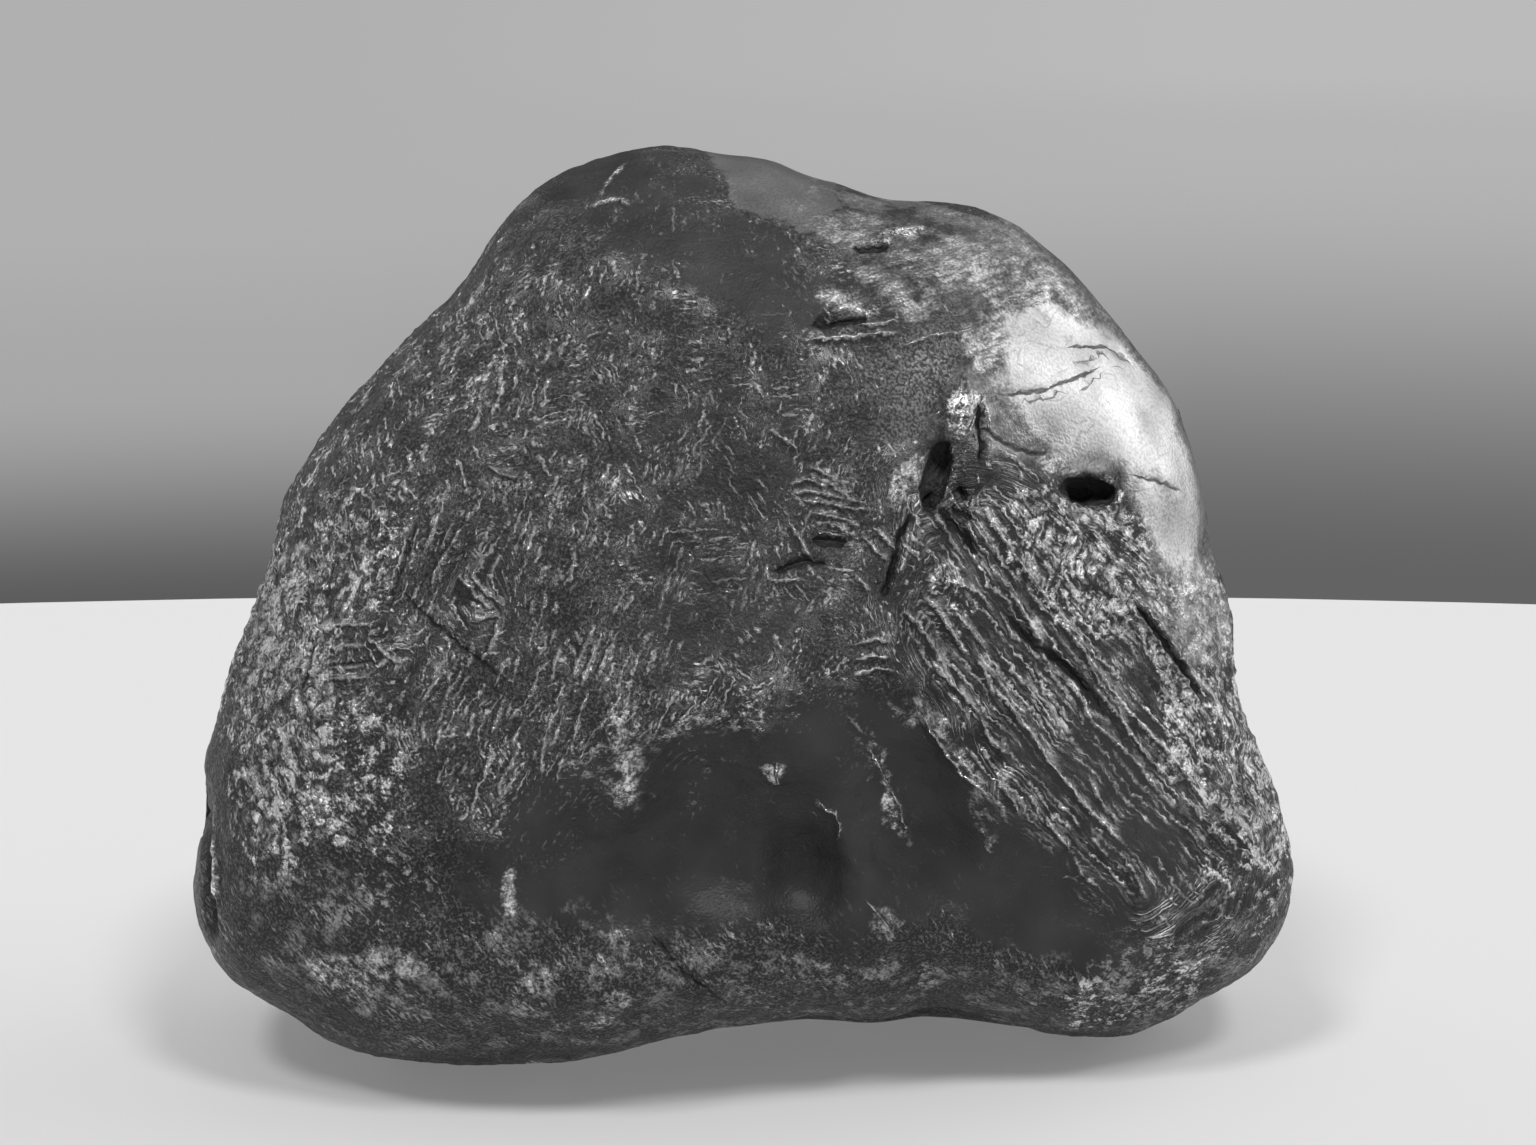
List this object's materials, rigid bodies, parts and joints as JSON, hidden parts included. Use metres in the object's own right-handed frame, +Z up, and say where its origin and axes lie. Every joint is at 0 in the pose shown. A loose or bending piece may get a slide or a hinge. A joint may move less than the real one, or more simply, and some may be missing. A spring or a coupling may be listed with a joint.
{
  "type": "iron meteorite",
  "caption": "Rounded triangular mass of weathered solid iron with a brow over an undercut hollow, crystal-plane ridges and a small deep pit, resting on a flat spot; a display specimen",
  "frame": {"origin": "on the ground plane, under the middle of the bounding box", "axes": "+X to the right as seen from the broad hollowed face, +Y away from that face into the mass, +Z up from the flat spot it rests on"},
  "size_m": [0.261, 0.1672, 0.2161],
  "materials": {
    "iron": "bare weathered nickel-iron, dark grey, etched by corrosion into crossing lamella ridges, worn smooth and brighter on the right shoulder"
  },
  "bodies": {
    "root": {"meteorite": "iron"}
  },
  "joints": []
}
